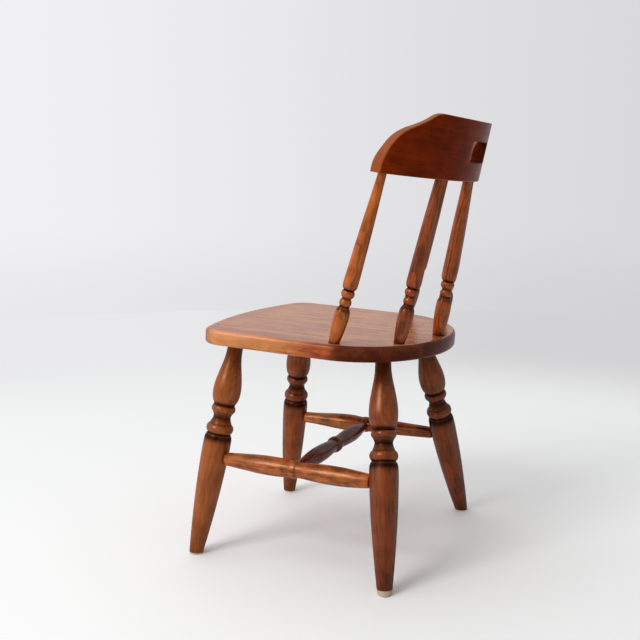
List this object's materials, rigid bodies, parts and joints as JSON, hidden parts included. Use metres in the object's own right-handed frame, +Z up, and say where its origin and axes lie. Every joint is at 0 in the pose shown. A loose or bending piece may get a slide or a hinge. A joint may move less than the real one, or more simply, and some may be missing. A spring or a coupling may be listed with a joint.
{
  "type": "spindle-back child's chair",
  "caption": "Small wooden chair with a board seat, splayed turned legs, turned stretchers and spindles, and a curved crest rail with a hand slot.",
  "frame": {"origin": "on the floor, at the middle of the chair's bounding box", "axes": "+Z up; the chair faces -Y; the sitter's left is +X"},
  "size_m": [0.3562, 0.3556, 0.5722],
  "materials": {
    "seat_wood": "glossy red-brown stain over turned or sawn wood",
    "leg_wood": "glossy red-brown stain over turned or sawn wood",
    "stretcher_wood": "glossy red-brown stain over turned or sawn wood",
    "spindle_wood": "glossy red-brown stain over turned or sawn wood",
    "crest_wood": "glossy red-brown stain over turned or sawn wood"
  },
  "bodies": {
    "root": {"seat": "seat_wood", "leg_front_left": "leg_wood", "leg_front_right": "leg_wood", "leg_rear_left": "leg_wood", "leg_rear_right": "leg_wood", "side_stretcher_left": "stretcher_wood", "side_stretcher_right": "stretcher_wood", "cross_stretcher": "stretcher_wood", "spindle_far_left": "spindle_wood", "spindle_left": "spindle_wood", "spindle_centre": "spindle_wood", "spindle_right": "spindle_wood", "spindle_far_right": "spindle_wood", "crest_rail": "crest_wood"}
  },
  "joints": []
}
